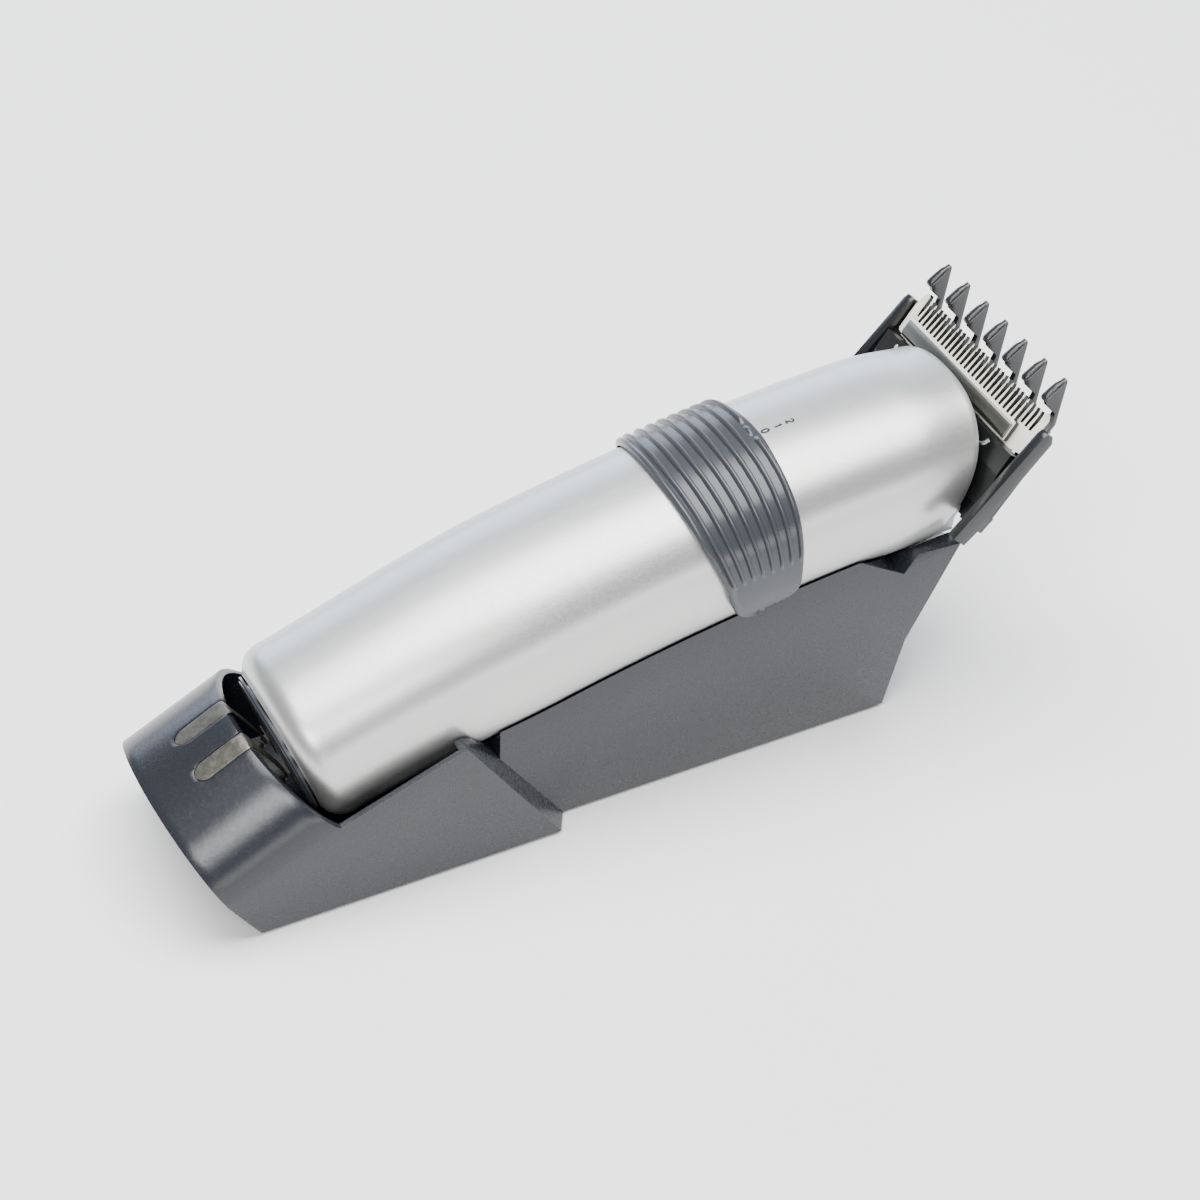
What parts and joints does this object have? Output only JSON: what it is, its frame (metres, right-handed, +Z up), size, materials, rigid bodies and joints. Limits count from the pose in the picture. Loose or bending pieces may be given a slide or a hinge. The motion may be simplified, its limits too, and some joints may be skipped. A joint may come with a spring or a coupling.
{
  "type": "hair clipper",
  "caption": "Cordless hair clipper with slide-ring power switch, reciprocating blade and clip-on guard comb, lying in its charging stand.",
  "frame": {"origin": "middle of the bounding box, on the plane the rubber feet stand on", "axes": "+X from the charging hood towards the cutting head, +Z up, +Y to the clipper's left seen from its tail"},
  "size_m": [0.1782, 0.05, 0.0719],
  "materials": {
    "silver_paint": "satin silver lacquer with metal flake over moulded ABS",
    "grey_plastic": "fine spark-eroded mid-grey ABS",
    "light_grey_plastic": "smooth light grey ABS",
    "stand_plastic": "polished dark grey ABS",
    "black_plastic": "black nylon and ABS",
    "comb_plastic": "polished charcoal polypropylene",
    "blade_steel": "ground hardened steel",
    "spring_steel": "drawn spring wire and zinc-plated screws",
    "nickel_contact": "nickel-plated strip",
    "rubber": "soft black rubber",
    "motor_can": "drawn zinc-plated steel can",
    "cell_wrap": "green shrink sleeve over a metal cell",
    "board_green": "green solder mask on glass-epoxy board"
  },
  "bodies": {
    "stand": {"stand_housing": "stand_plastic", "stand_base_plate": "stand_plastic", "base_screw_1": "spring_steel", "base_screw_2": "spring_steel", "base_screw_3": "spring_steel", "base_screw_4": "spring_steel", "rubber_foot_1": "rubber", "rubber_foot_2": "rubber", "rubber_foot_3": "rubber", "rubber_foot_4": "rubber", "charging_board": "board_green", "charging_contact_left": "nickel_contact", "charging_contact_right": "nickel_contact", "power_inlet": "black_plastic", "inlet_pin": "nickel_contact"},
    "clipper": {"upper_shell": "silver_paint", "lower_shell": "light_grey_plastic", "shell_screw_1": "spring_steel", "shell_screw_2": "spring_steel", "tail_cap": "grey_plastic", "charging_plate_left": "nickel_contact", "charging_plate_right": "nickel_contact", "battery_cell_1": "cell_wrap", "battery_cell_2": "cell_wrap", "circuit_board": "board_green", "slide_switch": "nickel_contact", "inner_tray": "black_plastic", "motor": "motor_can", "head_frame": "black_plastic", "fixed_blade": "blade_steel", "blade_screw_1": "spring_steel", "blade_screw_2": "spring_steel", "tension_spring": "spring_steel"},
    "ring": {"power_ring": "grey_plastic", "switch_link": "black_plastic", "switch_knob": "black_plastic"},
    "rotor": {"motor_shaft": "spring_steel", "eccentric": "light_grey_plastic"},
    "cutter": {"moving_blade": "blade_steel", "blade_driver": "light_grey_plastic"},
    "comb": {"guard_comb": "comb_plastic"}
  },
  "joints": [
    {"name": "clipper_lift", "type": "slide", "parent": "stand", "child": "clipper", "axis": [0, 0, 1], "range_m": [0, 0.06]},
    {"name": "ring_slide", "type": "slide", "parent": "clipper", "child": "ring", "axis": [0.989, 0, 0.1478], "range_m": [0, 0.0052]},
    {"name": "motor_spin", "type": "hinge", "parent": "clipper", "child": "rotor", "pos_m": [0.06196, 0, 0.04882], "axis": [0.9929, 0, 0.1191], "continuous": true},
    {"name": "blade_slide", "type": "slide", "parent": "clipper", "child": "cutter", "axis": [0, 1, 0], "range_m": [-0.0024, 0]},
    {"name": "comb_pull", "type": "slide", "parent": "clipper", "child": "comb", "axis": [0.7071, 0, 0.7071], "range_m": [0, 0.025]}
  ]
}
